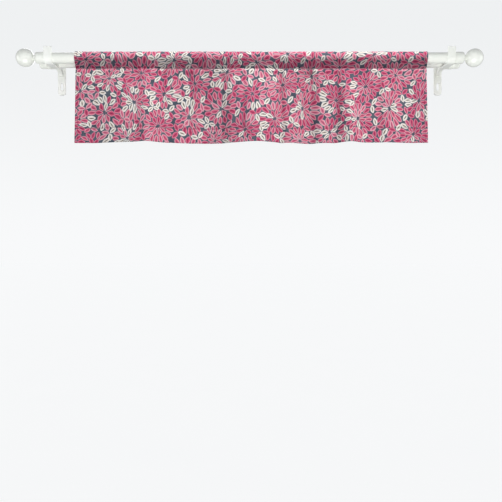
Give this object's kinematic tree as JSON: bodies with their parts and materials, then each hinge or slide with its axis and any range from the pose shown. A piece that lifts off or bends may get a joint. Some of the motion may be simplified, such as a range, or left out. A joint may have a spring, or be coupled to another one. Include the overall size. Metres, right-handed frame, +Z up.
{
  "type": "window valance on a double curtain rod",
  "caption": "Short gathered window valance of printed cloth, hung by its rod pocket on the front rod of a white double curtain rod with ball finials and wall brackets.",
  "frame": {"origin": "on the wall plane, at the height of both rods' axes, midway between the two brackets", "axes": "+Z up, -Y out from the wall towards the room, +X to the right as seen from the room"},
  "size_m": [1.5642, 0.17, 0.341],
  "materials": {
    "printed_cloth": "matte woven polyester, printed with pink and cream leaves on slate",
    "white_rod": "gloss white enamel",
    "white_finial": "gloss white moulded resin",
    "white_bracket": "semi-gloss white powder coat"
  },
  "bodies": {
    "root": {"valance": "printed_cloth", "front_rod": "white_rod", "rear_rod": "white_rod", "finial_left": "white_finial", "finial_right": "white_finial", "rear_cap_left": "white_finial", "rear_cap_right": "white_finial", "arm_left": "white_bracket", "arm_right": "white_bracket", "wall_plate_left": "white_bracket", "wall_plate_right": "white_bracket"}
  },
  "joints": []
}
